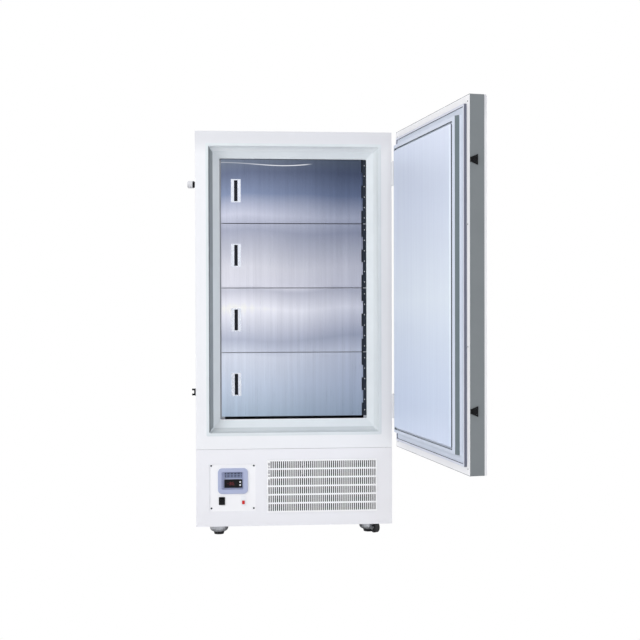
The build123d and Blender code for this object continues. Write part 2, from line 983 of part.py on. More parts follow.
bezel_x, bezel_z = from_corner(bezel_center)
bezel_front = plate_front - bezel_proud
recess_floor = bezel_front + recess_depth
controller_x = bezel_x + controller_offset
controller_z = bezel_z - controller_drop
controller_front = recess_floor - controller_proud


def display_bezel():
    """Pale blue bezel with a funnel-shaped recess and a blank indicator strip."""
    bezel = slab(
        bezel_front,
        plate_front,
        bezel_x - bezel_width / 2,
        bezel_x + bezel_width / 2,
        bezel_z - bezel_height / 2,
        bezel_z + bezel_height / 2,
        bezel_corner,
    )
    bezel = fillet(bezel.faces().sort_by(Axis.Y)[0].edges(), 2.5)
    half_x = recess_width / 2 + bezel_wall
    half_z = recess_height / 2 + bezel_wall
    bezel += block(
        bezel_x + recess_offset - half_x,
        bezel_x + recess_offset + half_x,
        plate_front,
        recess_floor + bezel_wall,
        bezel_z + recess_rise - half_z,
        bezel_z + recess_rise + half_z,
    )
    recess_x, recess_z = bezel_x + recess_offset, bezel_z + recess_rise
    left, right = recess_x - recess_width / 2, recess_x + recess_width / 2
    low, high = recess_z - recess_height / 2, recess_z + recess_height / 2
    floor_right = right - recess_right_draft
    floor_low, floor_high = recess_z - recess_floor_height / 2, recess_z + recess_floor_height / 2
    bezel -= funnel(
        [
            upright(bezel_front, left, right, low, high, 6.0),
            upright(
                recess_floor, floor_right - recess_floor_width, floor_right, floor_low, floor_high, 3.0
            ),
        ]
    )
    strip_z = bezel_z + indicator_rise - indicator_height / 2
    bezel += block(
        controller_x - indicator_width / 2,
        controller_x + indicator_width / 2,
        recess_floor - 1.5,
        recess_floor,
        strip_z,
        strip_z + indicator_height,
    )
    width, height = controller_body[0] + 1, controller_body[1] + 1
    return bezel - block(
        controller_x - width / 2,
        controller_x + width / 2,
        recess_floor - 1,
        recess_floor + 2 * bezel_wall,
        controller_z - height / 2,
        controller_z + height / 2,
    )


def key_x():
    """Centre line of the controller's keys."""
    return controller_x + controller_width / 2 - key_from_edge


def key_z(row):
    """Height of one key, the lower one first."""
    return controller_z + (row - 0.5) * key_spacing


def controller_case():
    """Black temperature controller with two key wells."""
    case = slab(
        controller_front,
        recess_floor,
        controller_x - controller_width / 2,
        controller_x + controller_width / 2,
        controller_z - controller_height / 2,
        controller_z + controller_height / 2,
        3.0,
    )
    width, height, depth = controller_body
    case += block(
        controller_x - width / 2,
        controller_x + width / 2,
        recess_floor,
        recess_floor + depth,
        controller_z - height / 2,
        controller_z + height / 2,
    )
    for row in (0, 1):
        half = key_size / 2 + key_gap
        case -= block(
            key_x() - half,
            key_x() + half,
            controller_front - 1,
            controller_front + 3.0,
            key_z(row) - half,
            key_z(row) + half,
        )
    return case


def controller_key(row):
    """Square white key, proud of the controller by its travel."""
    half = key_size / 2
    return slab(
        controller_front - key_travel,
        controller_front + 3.0 - key_travel - 0.3,
        key_x() - half,
        key_x() + half,
        key_z(row) - half,
        key_z(row) + half,
        1.2,
    )


rocker_x, rocker_z = from_corner(rocker_center)
rocker_pivot_y = plate_front + 4.0


def rocker_housing():
    """Black switch body with a raised rim."""
    half_x, half_z = rocker_width / 2, rocker_height / 2
    housing = slab(
        plate_front - switch_proud,
        plate_front,
        rocker_x - half_x,
        rocker_x + half_x,
        rocker_z - half_z,
        rocker_z + half_z,
        2.5,
    )
    half_x, half_z = half_x - rocker_rim, half_z - rocker_rim
    housing += block(
        rocker_x - half_x,
        rocker_x + half_x,
        plate_front,
        plate_front + switch_body_depth,
        rocker_z - half_z,
        rocker_z + half_z,
    )
    half_x, half_z = half_x - 1.5, half_z - 1.5
    housing -= block(
        rocker_x - half_x,
        rocker_x + half_x,
        plate_front - switch_proud - 1,
        plate_front + 15.0,
        rocker_z - half_z,
        rocker_z + half_z,
    )
    pivot = rod_x(rocker_x - half_x, rocker_x + half_x, rocker_pivot_y, rocker_z, 1.5)
    return housing + pivot


def power_rocker():
    """Rocker paddle, tilted to the side that is pressed in."""
    half_x = rocker_width / 2 - rocker_rim - 1.5 - switch_gap
    half_z = rocker_height / 2 - rocker_rim - 3.0
    crown = plate_front - switch_proud - 0.5 - rocker_pivot_y
    paddle = profile_x(
        [
            (crown - 1.0, -half_z),
            (crown + 1.0, 0),
            (crown - 1.0, half_z),
            (4.0, half_z - 4.0),
            (4.0, -half_z + 4.0),
        ],
        -half_x,
        half_x,
    )
    paddle -= rod_x(-half_x, half_x, 0, 0, 1.5 + running_fit)
    return Pos(rocker_x, rocker_pivot_y, rocker_z) * Rot(rocker_tilt, 0, 0) * paddle


alarm_x, alarm_z = from_corner(alarm_center)


def alarm_switch_housing():
    """White switch housing with a well for the red button."""
    half_x, half_z = alarm_width / 2, alarm_height / 2
    housing = slab(
        plate_front - switch_proud, plate_front, alarm_x - half_x, alarm_x + half_x,
        alarm_z - half_z, alarm_z + half_z, 2.0,
    )
    half_x, half_z = half_x - 2, half_z - 2
    housing += block(
        alarm_x - half_x,
        alarm_x + half_x,
        plate_front,
        plate_front + switch_body_depth,
        alarm_z - half_z,
        alarm_z + half_z,
    )
    half_x = alarm_button_width / 2 + switch_gap
    half_z = alarm_button_height / 2 + switch_gap
    center = alarm_z - alarm_button_drop
    return housing - block(
        alarm_x - half_x,
        alarm_x + half_x,
        plate_front - switch_proud - 1,
        plate_front + 8.0,
        center - half_z,
        center + half_z,
    )


def alarm_button():
    """Red push button."""
    half_x, half_z = alarm_button_width / 2, alarm_button_height / 2
    center = alarm_z - alarm_button_drop
    return slab(
        plate_front - switch_proud - alarm_travel,
        plate_front + 8.0 - alarm_travel - 0.3,
        alarm_x - half_x,
        alarm_x + half_x,
        center - half_z,
        center + half_z,
        1.5,
    )


# Refrigeration plant

def compressor_axes():
    """Upright axes of the compressors."""
    return [(from_left - half_width, front + from_front) for from_left, from_front in compressor_places]


def compressors():
    """Two hermetic compressors: domed cans on a foot plate, with a terminal boss on top."""
    cans = []
    for x, y in compressor_axes():
        can_low = pan_high + compressor_foot
        can = rod_z(x, y, can_low, can_low + compressor_height, compressor_radius)
        can = fillet(can.edges().filter_by(GeomType.CIRCLE), 30.0)
        can += rod_z(x, y, can_low + compressor_height / 2 - 3, can_low + compressor_height / 2 + 3,
                     compressor_radius + 4)
        feet = block(x - 85, x + 85, y - 85, y + 85, can_low, can_low + 4)
        for dx in (-70, 70):
            for dy in (-70, 70):
                feet += rod_z(x + dx, y + dy, pan_high, can_low, 10)
        boss = rod_z(x, y - boss_offset, can_low + compressor_height - 20, boss_top, boss_radius)
        cans.append(can + feet + boss)
    return group(cans)


boss_top = pan_high + compressor_foot + compressor_height + boss_rise
condenser_left = grille_edges(-condenser_margin)[0]
condenser_right = grille_edges(-condenser_margin)[1]
condenser_width = condenser_right - condenser_left
condenser_x = (condenser_left + condenser_right) / 2
condenser_front = front + condenser_from_front
condenser_middle = condenser_front + condenser_depth / 2
condenser_low = pan_high
condenser_high = pan_high + condenser_height


def tube_z(row):
    """Height of one of the condenser's tubes, the lowest first."""
    step = (condenser_height - 2 * tube_margin) / condenser_rows
    return condenser_low + tube_margin + (row + 0.5) * step


def condenser():
    """Finned condenser between two end plates, with return bends."""
    half = condenser_width / 2
    core = block(
        condenser_x - half,
        condenser_x + half,
        condenser_front + 3,
        condenser_front + condenser_depth - 3,
        condenser_low + 8,
        condenser_high - 8,
    )
    for side in (-1, 1):
        x0, x1 = sorted((condenser_x + side * half, condenser_x + side * (half + 2)))
        core += block(
            x0, x1, condenser_front, condenser_front + condenser_depth, condenser_low, condenser_high
        )
    for row in range(condenser_rows):
        core += rod_x(
            condenser_left - tube_reach,
            condenser_right + tube_reach,
            condenser_middle,
            tube_z(row),
            condenser_tube,
        )
    return core


shroud_front = condenser_front + condenser_depth
fan_z = (condenser_low + condenser_high) / 2
fan_front = shroud_front + shroud_sheet + fan_gap


def fan_shroud():
    """Plate with a collar round the fan and three arms that carry the motor."""
    half = condenser_width / 2
    shroud = block(
        condenser_x - half,
        condenser_x + half,
        shroud_front,
        shroud_front + shroud_sheet,
        condenser_low,
        condenser_high,
    )
    collar_back = fan_front + fan_depth + 10
    shroud += rod_y(condenser_x, shroud_front, collar_back, fan_z, fan_radius + 9)
    shroud -= rod_y(condenser_x, shroud_front - 1, collar_back + 1, fan_z, fan_radius + 6)
    ring = rod_y(condenser_x, collar_back - 3, collar_back, fan_z, motor_radius)
    arms = ring
    for turn in range(3):
        arm = Pos(0, 0, (fan_radius + 7) / 2) * Box(14, 3, fan_radius + 7)
        arms += Pos(condenser_x, collar_back - 1.5, fan_z) * Rot(0, 120 * turn, 0) * arm
    arms -= rod_y(condenser_x, collar_back - 4, collar_back + 1, fan_z, 8)
    return shroud + arms


motor_front = fan_front + fan_depth + 10


def fan_motor():
    """Fan motor with its shaft."""
    motor = rod_y(condenser_x, motor_front, motor_front + motor_length, fan_z, motor_radius)
    motor = fillet(motor.faces().sort_by(Axis.Y)[-1].edges(), 8.0)
    return motor + rod_y(condenser_x, fan_front + 4, motor_front, fan_z, 4.0)


def condenser_fan():
    """Five-bladed axial fan."""
    fan = rod_y(0, 0, fan_depth, 0, fan_hub_radius)
    for index in range(fan_blades):
        blade = Box(44, 2.5, fan_radius - fan_hub_radius + 4)
        blade = Pos(0, fan_depth / 2, (fan_radius + fan_hub_radius) / 2 - 4) * Rot(0, 0, 28) * blade
        fan += Rot(0, 360 / fan_blades * index, 0) * blade
    fan -= rod_y(0, 0, fan_depth, 0, 4.0 + running_fit)
    return Pos(condenser_x, fan_front, fan_z) * fan


drier_x = condenser_left + drier_from_left
drier_y = condenser_middle - drier_stand
drier_low = floor_clearance + drier_rise


def pipe(points):
    """Copper pipe through points, with equal bends."""
    path = FilletPolyline(points, radius=pipe_bend)
    start = Plane(origin=path @ 0, z_dir=path % 0)
    return sweep(start * Circle(pipe_radius), path)


def refrigerant_pipes():
    """Discharge, liquid and suction lines with the filter drier brazed in."""
    (first_x, first_y), (second_x, second_y) = compressor_axes()
    first_y, second_y = first_y - boss_offset, second_y - boss_offset
    left = condenser_left - tube_reach
    low, high = tube_z(0), tube_z(condenser_rows - 1)
    drier_high = drier_low + drier_length
    discharge = [
        (first_x, first_y, boss_top),
        (first_x, first_y, boss_top + discharge_rise),
        (first_x, condenser_middle, boss_top + discharge_rise),
        (first_x, condenser_middle, high),
        (left, condenser_middle, high),
    ]
    liquid = [
        (left, condenser_middle, low),
        (left - liquid_reach, condenser_middle, low),
        (left - liquid_reach, drier_y, low),
        (left - liquid_reach, drier_y, drier_high + drier_loop),
        (drier_x, drier_y, drier_high + drier_loop),
        (drier_x, drier_y, drier_high - 1.0),
    ]
    suction = [
        (second_x, second_y, boss_top),
        (second_x, second_y, boss_top + suction_rise),
        (second_x - suction_run, second_y, boss_top + suction_rise),
        (second_x - suction_run, second_y, seam),
    ]
    lines = [pipe(discharge), pipe(liquid), pipe(suction)]
    drier = rod_z(drier_x, drier_y, drier_low, drier_high, drier_radius)
    drier = fillet(drier.edges().filter_by(GeomType.CIRCLE), 6.0)
    lines[1] += drier
    return group(lines)


# Levelling casters, drawn with the wheel towards the front and turned to their places

kingpin_low = 44.0
housing_top = pan_low - mount_plate - swivel_gap
wheel_z = wheel_radius + wheel_lift
foot_pocket = foot_ring_radius + 1.5
foot_stem_top = pan_high - foot_travel - stem_clearance
slot_half = wheel_width / 2 + wheel_gap


def caster_housing():
    """Swivelling die-cast housing with fork arms and the wheel's axle."""
    rounding = 16.0
    body = rod_z(0, 0, caster_bottom, kingpin_low + 6, caster_radius)
    body = fillet(body.faces().sort_by(Axis.Z)[0].edges(), rounding)
    body = fillet(body.faces().sort_by(Axis.Z)[-1].edges(), 4.0)
    body += rod_z(0, 0, kingpin_low, housing_top, kingpin_radius + 7)
    arm_half = slot_half + fork_wall
    arm = block(-arm_half, arm_half, -caster_trail, 0, wheel_z - 9, kingpin_low)
    arm += rod_x(-arm_half, arm_half, -caster_trail, wheel_z, 9)
    body += arm
    body -= block(-slot_half, slot_half, -100, -caster_trail + wheel_radius + 2, -1, kingpin_low + 5)
    body -= rod_z(0, 0, 0, foot_pocket_top, foot_pocket)
    body -= rod_z(0, 0, 0, housing_top, kingpin_radius + 0.3)
    return body + rod_x(-arm_half, arm_half, -caster_trail, wheel_z, axle_radius)


foot_pocket_top = 6.0 + 6.0 + foot_travel + 2.0


def caster_wheel():
    """Black wheel with a rounded tread and a hub recess."""
    wheel = rod_x(-wheel_width / 2, wheel_width / 2, -caster_trail, wheel_z, wheel_radius)
    wheel = fillet(wheel.edges().filter_by(GeomType.CIRCLE), 4.0)
    return wheel - rod_x(-wheel_width, wheel_width, -caster_trail, wheel_z, axle_radius + running_fit)


def caster_foot():
    """Levelling foot: pad, thumb ring and stem."""
    foot = rod_z(0, 0, 0, 6, foot_pad_radius)
    foot = chamfer(foot.faces().sort_by(Axis.Z)[-1].edges(), 2.0)
    ring = rod_z(0, 0, 6, 12, foot_ring_radius)
    for index in range(12):
        notch = Rot(0, 0, 30 * index) * Pos(foot_ring_radius + 1, 0, 9) * Cylinder(2.5, 8)
        ring -= notch
    return foot + ring + rod_z(0, 0, 12, foot_stem_top, foot_stem_radius)


def placed_caster(piece, index):
    """Moves a caster's piece to its corner and turns it."""
    x, y = caster_places()[index]
    return Pos(x, y, 0) * Rot(0, 0, caster_angles[index]) * piece


nodes = {
    "cabinet_shell": cabinet_shell(),
    "cabinet_foam": cabinet_foam(),
    "cabinet_liner": cabinet_liner(),
    "breaker_frame": breaker_frame(),
    "inner_shelves": inner_shelves(),
    "inner_hinge_leaves": inner_hinge_leaves(),
    "base_front_panel": base_front_panel(),
    "base_side_panels": base_side_panels(),
    "base_chassis": base_chassis(),
    "base_rear_cover": base_rear_cover(),
    "intake_grille": intake_grille(),
    "control_plate": control_plate(),
    "display_bezel": display_bezel(),
    "controller_case": controller_case(),
    "controller_key_down": controller_key(0),
    "controller_key_up": controller_key(1),
    "rocker_housing": rocker_housing(),
    "power_rocker": power_rocker(),
    "alarm_switch_housing": alarm_switch_housing(),
    "alarm_button": alarm_button(),
    "compressors": compressors(),
    "condenser": condenser(),
    "fan_shroud": fan_shroud(),
    "fan_motor": fan_motor(),
    "condenser_fan": condenser_fan(),
    "refrigerant_pipes": refrigerant_pipes(),
    "door_hinge_brackets": door_hinge_brackets(),
    "door_hinge_pins": door_hinge_pins(),
    "latch_mounts": latch_mounts(),
    "latch_upper_knob": latch_upper_knob(),
    "latch_lower_keeper": latch_lower_keeper(),
    "door_skin": swung(door_skin()),
    "door_edge_band": swung(door_edge_band()),
    "door_flange": swung(door_flange()),
    "door_liner": swung(door_liner()),
    "door_core": swung(door_core()),
    "door_gasket": swung(door_gasket()),
    "door_plate": swung(door_plate()),
    "door_strikers": swung(door_strikers()),
    "door_hinge_leaves": swung(door_hinge_leaves()),
}
for door in range(1, inner_doors + 1):
    nodes[f"inner_door_{door}_panel"] = inner_door_panel(door)
    nodes[f"inner_door_{door}_pull"] = inner_door_pull(door)
for corner in range(4):
    nodes[f"caster_{corner + 1}_housing"] = placed_caster(caster_housing(), corner)
    nodes[f"caster_{corner + 1}_wheel"] = placed_caster(caster_wheel(), corner)
    nodes[f"caster_{corner + 1}_foot"] = placed_caster(caster_foot(), corner)

datum_x, datum_y = caster_places()[0]
os.makedirs("parts", exist_ok=True)
for name, solid in nodes.items():
    export_step(Pos(-datum_x, -datum_y, 0) * solid, f"parts/{name}.step")
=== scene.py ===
"""Looks of the laboratory freezer: finishes, small fittings, light and camera. Metres throughout."""
import json
import math

import bmesh
import bpy
from mathutils import Matrix, Vector


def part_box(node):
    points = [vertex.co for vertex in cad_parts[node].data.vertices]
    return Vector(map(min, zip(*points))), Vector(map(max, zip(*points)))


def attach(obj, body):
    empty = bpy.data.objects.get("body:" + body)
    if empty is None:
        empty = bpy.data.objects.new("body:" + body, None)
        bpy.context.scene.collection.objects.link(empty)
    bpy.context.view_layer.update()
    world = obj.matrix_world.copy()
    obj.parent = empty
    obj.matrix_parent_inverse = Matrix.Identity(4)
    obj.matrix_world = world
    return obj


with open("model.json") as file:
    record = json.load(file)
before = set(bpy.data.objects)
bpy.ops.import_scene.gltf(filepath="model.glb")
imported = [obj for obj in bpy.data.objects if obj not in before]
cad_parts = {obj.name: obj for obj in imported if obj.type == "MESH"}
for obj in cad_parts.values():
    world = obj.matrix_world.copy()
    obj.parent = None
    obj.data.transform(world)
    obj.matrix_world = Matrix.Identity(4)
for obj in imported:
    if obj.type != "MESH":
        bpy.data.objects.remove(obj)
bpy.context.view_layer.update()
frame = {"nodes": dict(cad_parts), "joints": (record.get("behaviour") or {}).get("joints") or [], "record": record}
nodes = frame["nodes"]
mm = 0.001

# Camera, from the photograph's perspective; its place is from the cabinet's centre line on the floor
camera_place = Vector((-0.2319, -5.128, 1.0418))
camera_yaw = 0.07373
camera_pitch = -0.0112
camera_roll = -0.00266
camera_lens = 58.25
camera_sensor = 36
camera_range = 60

# Main places
cabinet_depth = 780 * mm
shell_low, shell_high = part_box("cabinet_shell")
cabinet_left, cabinet_right = shell_low.x, shell_high.x
cabinet_front = shell_low.y
cabinet_top = shell_high.z
cabinet_middle = Vector(((cabinet_left + cabinet_right) / 2, cabinet_front + cabinet_depth / 2, 0))
upper_door_low, upper_door_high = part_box("inner_door_1_panel")
inner_left, inner_right = upper_door_low.x, upper_door_high.x
doors_top = upper_door_high.z
doors_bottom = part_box("inner_door_4_panel")[0].z
inner_doors = 4
door_hinge = next(joint for joint in frame["joints"] if joint["name"] == "door_hinge")
hinge_place = Vector(door_hinge["pos_m"])
door_open = math.radians(-door_hinge["range_deg"][0])


def on_door(x, y, z):
    """Point of the shut outer door moved to where the open door has it."""
    flat = Vector((x - hinge_place.x, y - hinge_place.y, 0))
    moved = Matrix.Rotation(door_open, 3, "Z") @ flat
    return Vector((moved.x + hinge_place.x, moved.y + hinge_place.y, z))


door_facing_way = on_door(0, 1, 0) - on_door(0, 0, 0)


def linear(level):
    """Scene value of one 0 to 255 display level."""
    share = level / 255
    return share / 12.92 if share <= 0.04045 else ((share + 0.055) / 1.055) ** 2.4


def tone(red, green, blue):
    """Scene colour of display levels."""
    return (linear(red), linear(green), linear(blue), 1.0)


class Finish:
    """A material with its node tree and short ways to add nodes."""

    def __init__(self, name, color, roughness, metallic=0.0):
        self.material = bpy.data.materials.new(name)
        self.material.use_nodes = True
        self.tree = self.material.node_tree
        self.shader = self.tree.nodes["Principled BSDF"]
        self.shader.inputs["Base Color"].default_value = color
        self.shader.inputs["Roughness"].default_value = roughness
        self.shader.inputs["Metallic"].default_value = metallic
        self.color = color
        self.bumps = None

    def join(self, source, target):
        """Links two sockets."""
        self.tree.links.new(source, target)

    def feed(self, socket, value):
        """Gives an input a value or another node's socket."""
        if isinstance(value, bpy.types.NodeSocket):
            self.join(value, socket)
        else:
            socket.default_value = value

    def add(self, kind, **inputs):
        """New node; inputs are values or other nodes' sockets by input name."""
        node = self.tree.nodes.new(kind)
        for name, value in inputs.items():
            self.feed(node.inputs[name], value)
        return node

    def place(self, stretch=(1.0, 1.0, 1.0)):
        """Object coordinates in metres, stretched."""
        coordinates = self.add("ShaderNodeTexCoord")
        mapping = self.add("ShaderNodeMapping", Vector=coordinates.outputs["Object"], Scale=stretch)
        return mapping.outputs["Vector"]

    def axes(self):
        """Object coordinates in metres, by axis name."""
        return self.add("ShaderNodeSeparateXYZ", Vector=self.place()).outputs

    def normal(self):
        """Direction that each face looks in."""
        return self.add("ShaderNodeNewGeometry").outputs["Normal"]

    def noise(self, scale, stretch=(1.0, 1.0, 1.0), detail=2.0, roughness=0.5):
        """Noise value over the object."""
        node = self.add("ShaderNodeTexNoise", Vector=self.place(stretch), Scale=scale)
        self.feed(node.inputs["Detail"], detail)
        self.feed(node.inputs["Roughness"], roughness)
        return node.outputs["Fac"]

    def math(self, operation, first, second=0.0, clamp=False):
        """Result of one arithmetic step."""
        node = self.tree.nodes.new("ShaderNodeMath")
        node.operation = operation
        node.use_clamp = clamp
        self.feed(node.inputs[0], first)
        self.feed(node.inputs[1], second)
        return node.outputs["Value"]

    def product(self, first, second):
        """Two values multiplied."""
        return self.math("MULTIPLY", first, second)

    def away(self, value, middle):
        """Distance of a value from a middle value."""
        return self.math("ABSOLUTE", self.math("SUBTRACT", value, middle))

    def wave(self, value, pitch):
        """Sine wave of a value, one cycle to a pitch."""
        return self.math("SINE", self.product(value, 2 * math.pi / pitch))

    def span(self, value, low, high, out_low=0.0, out_high=1.0):
        """Value mapped smoothly from one span to another."""
        node = self.add("ShaderNodeMapRange", Value=value)
        node.interpolation_type = "SMOOTHSTEP"
        node.inputs["From Min"].default_value = low
        node.inputs["From Max"].default_value = high
        node.inputs["To Min"].default_value = out_low
        node.inputs["To Max"].default_value = out_high
        return node.outputs["Result"]

    def ramp(self, value, stops):
        """Colour along a list of (position, colour)."""
        node = self.add("ShaderNodeValToRGB", Fac=value)
        points = node.color_ramp.elements
        points[0].position, points[0].color = stops[0]
        points[1].position, points[1].color = stops[-1]
        for position, color in stops[1:-1]:
            points.new(position).color = color
        return node.outputs["Color"]

    def blend(self, value, first, second, low=0.25, high=0.75):
        """Colour between two, over a stretch of a value."""
        return self.ramp(value, [(low, first), (high, second)])

    def mix(self, share, first, second, mode="MIX"):
        """Two colours mixed by a share."""
        node = self.tree.nodes.new("ShaderNodeMix")
        node.data_type = "RGBA"
        node.blend_type = mode
        self.feed(node.inputs[0], share)
        self.feed(node.inputs[6], first)
        self.feed(node.inputs[7], second)
        return node.outputs[2]

    def tint(self, color, factors):
        """Colour multiplied part by part."""
        return self.mix(1.0, color, factors, "MULTIPLY")

    def paint(self, color):
        """Sets the base colour from a socket."""
        self.join(color, self.shader.inputs["Base Color"])

    def bump(self, height, strength, distance=0.001):
        """Adds relief on top of the relief that is there."""
        node = self.add("ShaderNodeBump", Height=height, Strength=strength, Distance=distance)
        if self.bumps is not None:
            self.join(self.bumps, node.inputs["Normal"])
        self.bumps = node.outputs["Normal"]
        self.join(self.bumps, self.shader.inputs["Normal"])

    def rough(self, value, low, high):
        """Varies the roughness with a value."""
        self.join(self.span(value, 0.3, 0.7, low, high), self.shader.inputs["Roughness"])


def shade(color, factor):
    """Colour made lighter or darker."""
    return tuple(min(1.0, part * factor) for part in color[:3]) + (1.0,)


def mottled(finish, scale, amount, stretch=(1.0, 1.0, 1.0)):
    """Slight colour variation all over."""
    value = finish.noise(scale, stretch, detail=3.0)
    finish.paint(finish.blend(value, shade(finish.color, 1 - amount), shade(finish.color, 1 + amount)))
    return value


def moulded_grain(finish, scale=900.0, relief=0.08):
    """Fine grain of a mould's surface."""
    finish.bump(finish.noise(scale, detail=1.0), relief, 0.3 * mm)


def orange_peel(finish):
    """Fine relief of sprayed powder coat."""
    finish.bump(finish.noise(700.0, detail=1.0), 0.06, 0.4 * mm)


def powder_coat(name, color, roughness=0.42):
    """Painted sheet with a fine orange-peel texture."""
    finish = Finish(name, color, roughness)
    mottled(finish, 2.5, 0.012)
    orange_peel(finish)
    finish.rough(finish.noise(5.0), roughness - 0.05, roughness + 0.07)
    return finish.material


def moulded(name, color, roughness=0.4, grain=900.0, amount=0.015, relief=0.08):
    """Injection-moulded plastic with a fine grain."""
    finish = Finish(name, color, roughness)
    mottled(finish, 9.0, amount)
    moulded_grain(finish, grain, relief)
    finish.rough(finish.noise(14.0), roughness - 0.06, roughness + 0.08)
    return finish.material


def metal(name, color, roughness=0.3, stretch=(1.0, 1.0, 1.0), scale=60.0, amount=0.08):
    """Plain metal with cloudy or brushed variation."""
    finish = Finish(name, color, roughness, 1.0)
    value = mottled(finish, scale, amount, stretch)
    finish.rough(value, roughness - 0.07, roughness + 0.1)
    finish.bump(value, 0.05, 0.3 * mm)
    return finish.material


def upright_streaks(finish):
    """Long upright brushing lines, fine and coarse together."""
    fine = finish.noise(1.0, (900.0, 900.0, 5.0), detail=4.0, roughness=0.6)
    coarse = finish.noise(1.0, (55.0, 55.0, 1.3), detail=3.0)
    both = finish.math("ADD", finish.product(fine, 0.45), finish.product(coarse, 0.55))
    return fine, both


def door_facing(finish, low, high):
    """Share of a face's turn toward the door's own front, between two levels."""
    facing = finish.add("ShaderNodeVectorMath")
    facing.operation = "DOT_PRODUCT"
    finish.join(finish.normal(), facing.inputs[0])
    facing.inputs[1].default_value = door_facing_way
    return finish.span(facing.outputs["Value"], low, high)


# Painted highlight, a bright wavy line: its drop and dip below the door's top, half widths, and shares of the
# door's width
glint_drop = 15 * mm
glint_dip = 13 * mm
glint_half_width = 3 * mm
glint_core = 0.8 * mm
glint_run = 0.8
glint_end = (0.72, 0.62)


def glint(finish, axes, across):
    """Share of the painted highlight, a bright wavy line near the top of the uppermost door."""
    dip = finish.math("SINE", finish.product(across, math.pi / glint_run))
    drop = finish.math("ADD", finish.product(dip, glint_dip), glint_drop)
    below = finish.math("SUBTRACT", doors_top, axes["Z"])
    near = finish.span(finish.away(below, drop), glint_half_width, glint_core)
    line = finish.product(near, finish.span(across, *glint_end))
    return finish.product(line, finish.span(across, 0.0, 0.3, 0.35, 0.95))


def inner_door_steel():
    """Brushed stainless sheet with the soft, uneven reflections of a thin panel painted into its colour, and
    painted light on its left side.
    """
    finish = Finish("inner_door_steel", tone(170, 176, 196), 0.34, 1.0)
    axes = finish.axes()
    across = finish.span(axes["X"], inner_left, inner_right)
    warp = finish.noise(1.0, (2.2, 1.0, 1.6), detail=1.0)
    bow = finish.product(finish.math("SUBTRACT", warp, 0.5), 0.10)
    height = finish.math("ADD", axes["Z"], bow)
    rise = finish.math("SUBTRACT", height, doors_bottom)
    level = finish.math("DIVIDE", rise, doors_top - doors_bottom, clamp=True)
    # Painted reflection: lighter and darker bands up the doors
    body = finish.ramp(
        level,
        [
            (0.00, tone(160, 177, 199)),
            (0.12, tone(184, 196, 218)),
            (0.24, tone(202, 209, 227)),
            (0.30, tone(172, 179, 201)),
            (0.42, tone(228, 230, 243)),
            (0.49, tone(188, 191, 208)),
            (0.51, tone(208, 210, 225)),
            (0.58, tone(204, 206, 220)),
            (0.72, tone(150, 156, 178)),
            (0.78, tone(171, 177, 198)),
            (0.86, tone(104, 117, 147)),
            (0.94, tone(78, 88, 113)),
            (1.00, tone(84, 94, 110)),
        ],
    )
    # Painted light: the doors lighter toward their left side, most near the top, and a little darker toward the
    # right
    left_low, left_high = (1.32, 1.30, 1.24, 1.0), (2.3, 2.15, 1.95, 1.0)
    left_side = finish.mix(finish.span(level, 0.62, 1.0), left_low, left_high)
    painted_sidelong_light = finish.mix(across, left_side, (0.84, 0.85, 0.87, 1.0))
    body = finish.tint(body, painted_sidelong_light)
    fine, streaks = upright_streaks(finish)
    grain = finish.blend(streaks, (0.90, 0.90, 0.91, 1.0), (1.07, 1.07, 1.07, 1.0), 0.32, 0.68)
    sheet = finish.tint(body, grain)
    # Painted highlight: the bright wavy line near the top of the uppermost door
    finish.paint(finish.mix(glint(finish, axes, across), sheet, tone(246, 248, 255)))
    finish.rough(fine, 0.27, 0.42)
    finish.bump(fine, 0.06, 0.2 * mm)
    return finish.material


plate_tones_from = 450 * mm
plate_tones_to = 1800 * mm


def door_plate_steel():
    """Pale brushed stainless plate of the outer door, with painted shade on its rim walls."""
    finish = Finish("door_plate_steel", tone(206, 214, 233), 0.42, 0.2)
    body = finish.ramp(
        finish.span(finish.axes()["Z"], plate_tones_from, plate_tones_to),
        [(0.0, tone(218, 229, 250)), (0.45, tone(236, 245, 255)), (1.0, tone(226, 234, 252))],
    )
    fine, streaks = upright_streaks(finish)
    grain = finish.blend(streaks, (0.94, 0.94, 0.96, 1.0), (1.03, 1.03, 1.02, 1.0), 0.3, 0.7)
    face = finish.tint(body, grain)
    # Painted shade: rim walls turned away from the door's front are dark
    finish.paint(finish.mix(door_facing(finish, 0.1, 0.5), tone(24, 33, 44), face))
    finish.rough(fine, 0.34, 0.48)
    finish.bump(fine, 0.05, 0.2 * mm)
    return finish.material


def shade_sided_moulding(name, face, side, roughness=0.4):
    """Moulding on the door with painted shade on its side walls, which are darker than the faces."""
    finish = Finish(name, face, roughness)
    cloud = finish.noise(9.0, detail=3.0)
    pale = finish.blend(cloud, shade(face, 0.985), shade(face, 1.015))
    dark = finish.blend(cloud, shade(side, 0.97), shade(side, 1.03))
    # Painted shade on the side walls
    finish.paint(finish.mix(door_facing(finish, 0.3, 0.75), dark, pale))
    moulded_grain(finish, 800.0, 0.07)
    finish.rough(finish.noise(14.0), roughness - 0.05, roughness + 0.08)
    return finish.material


